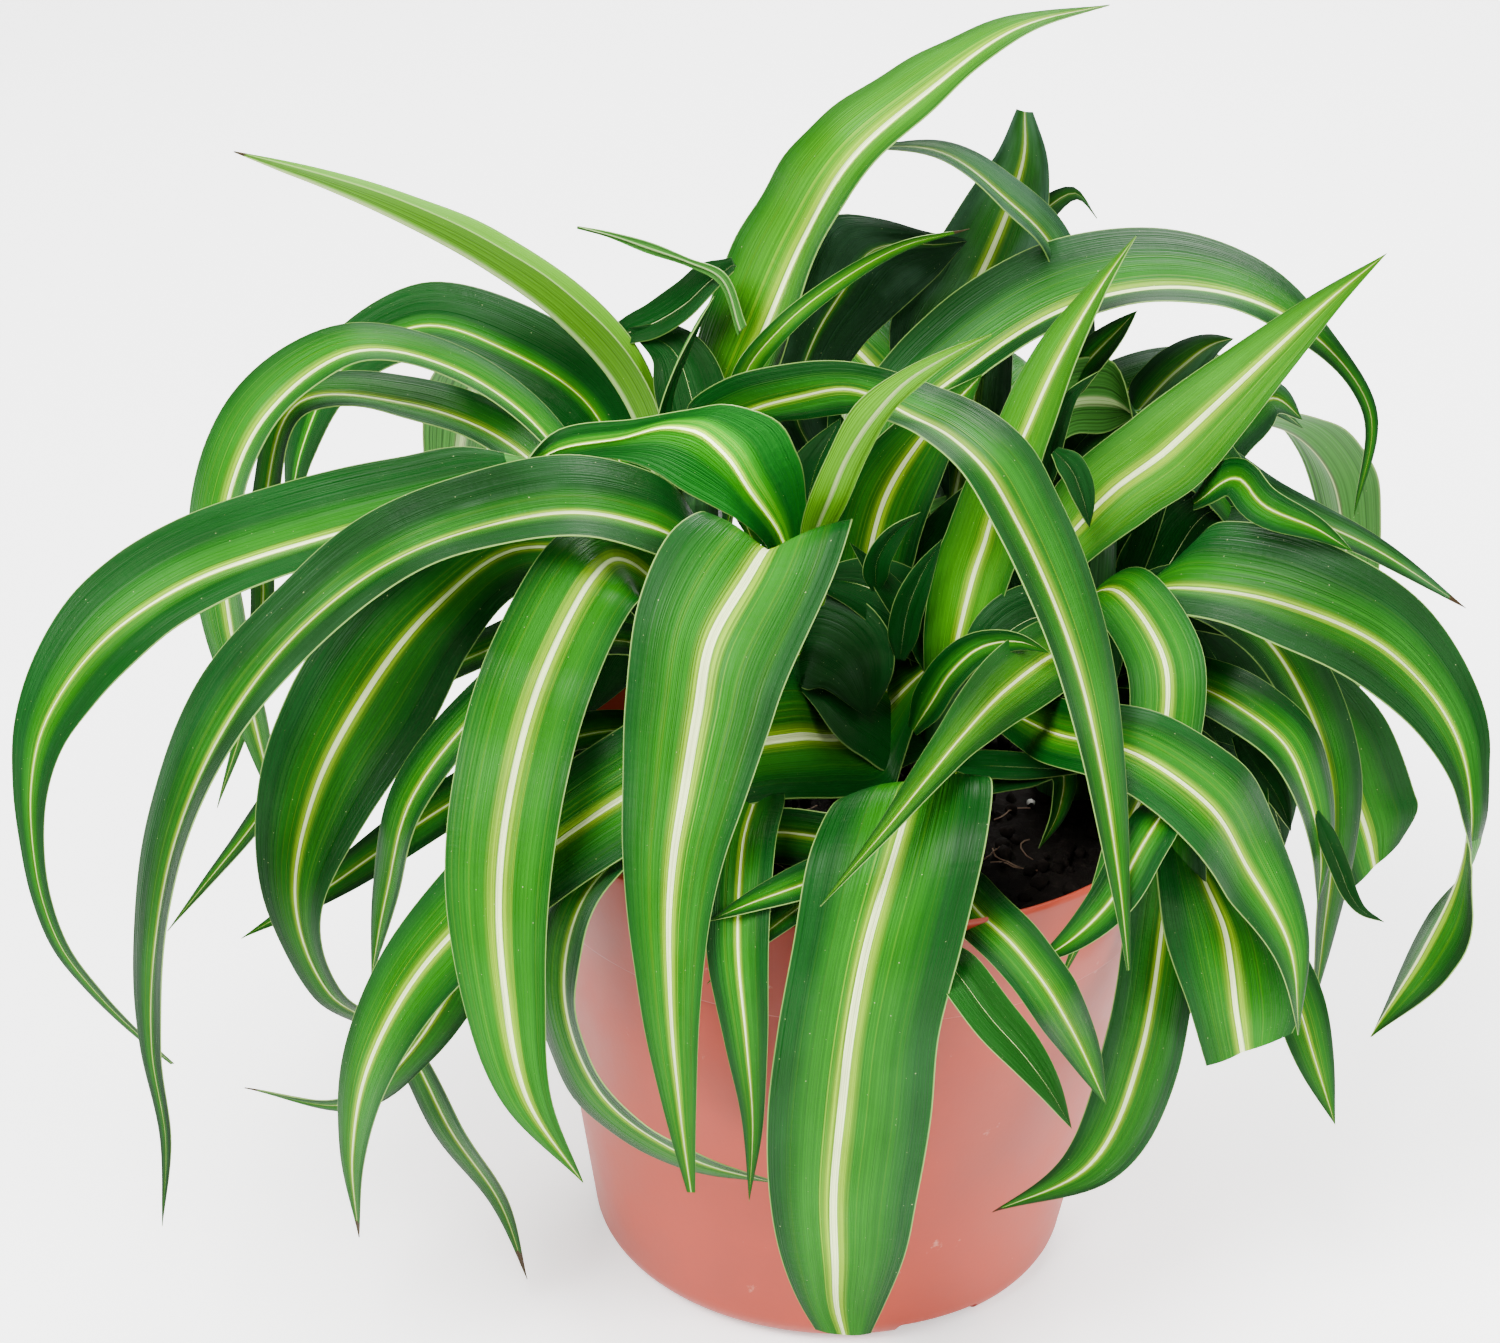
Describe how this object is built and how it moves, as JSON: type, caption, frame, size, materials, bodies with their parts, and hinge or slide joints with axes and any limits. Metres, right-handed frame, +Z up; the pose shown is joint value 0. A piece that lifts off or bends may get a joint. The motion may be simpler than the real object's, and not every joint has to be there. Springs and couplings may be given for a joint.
{
  "type": "potted spider plant",
  "caption": "Spider plant with long arching striped leaves growing from short crowns in a round tapered nursery pot filled with soil.",
  "frame": {"origin": "centre of the pot's flat underside", "axes": "+Z up along the pot's axis; the plant is seen from -Y, with +X to its right"},
  "size_m": [0.2673, 0.2058, 0.2275],
  "materials": {
    "pot_plastic": "satin",
    "soil": "matte",
    "crown_green": "satin",
    "leaf_green": "satin"
  },
  "bodies": {
    "root": {"pot": "pot_plastic", "soil": "soil", "crown_front_left": "crown_green", "crown_rear_left": "crown_green", "crown_front_right": "crown_green", "crown_right": "crown_green", "crown_rear_right": "crown_green", "leaf_left_spear": "leaf_green", "leaf_left_back_broad": "leaf_green", "leaf_left_high_arch": "leaf_green", "leaf_left_inner_arch": "leaf_green", "leaf_top_spear": "leaf_green", "leaf_top_narrow": "leaf_green", "leaf_back_left_thin": "leaf_green", "leaf_left_long": "leaf_green", "leaf_left_front_long": "leaf_green", "leaf_left_broad_dark": "leaf_green", "leaf_left_low_thin": "leaf_green", "leaf_left_low_striped": "leaf_green", "leaf_left_mid_narrow": "leaf_green", "leaf_left_low_curl": "leaf_green", "leaf_front_1": "leaf_green", "leaf_front_2": "leaf_green", "leaf_right_front_long": "leaf_green", "leaf_centre_upright": "leaf_green", "leaf_front_low_curl": "leaf_green", "leaf_front_hanging": "leaf_green", "leaf_left_low_long": "leaf_green", "leaf_front_3": "leaf_green", "leaf_front_striped_point": "leaf_green", "leaf_centre_spear": "leaf_green", "leaf_right_low_long": "leaf_green", "leaf_front_right_low_1": "leaf_green", "leaf_front_low_band": "leaf_green", "leaf_front_low_tip_2": "leaf_green", "leaf_right_spear": "leaf_green", "leaf_right_long": "leaf_green", "leaf_right_dark_arc": "leaf_green", "leaf_right_mid": "leaf_green", "leaf_right_broad_back": "leaf_green", "leaf_right_dark_drop": "leaf_green", "leaf_right_low_broad": "leaf_green", "leaf_right_low_tip": "leaf_green", "leaf_right_low_dark": "leaf_green", "leaf_right_front_mid": "leaf_green", "leaf_right_high_long": "leaf_green", "leaf_back_left_pointed": "leaf_green", "leaf_back_broad_left": "leaf_green", "leaf_back_peak": "leaf_green", "leaf_back_right_end": "leaf_green", "leaf_right_back_dark": "leaf_green", "leaf_back_1": "leaf_green", "leaf_back_2": "leaf_green", "leaf_back_3": "leaf_green", "leaf_back_4": "leaf_green", "leaf_back_5": "leaf_green", "leaf_back_6": "leaf_green"}
  },
  "joints": []
}
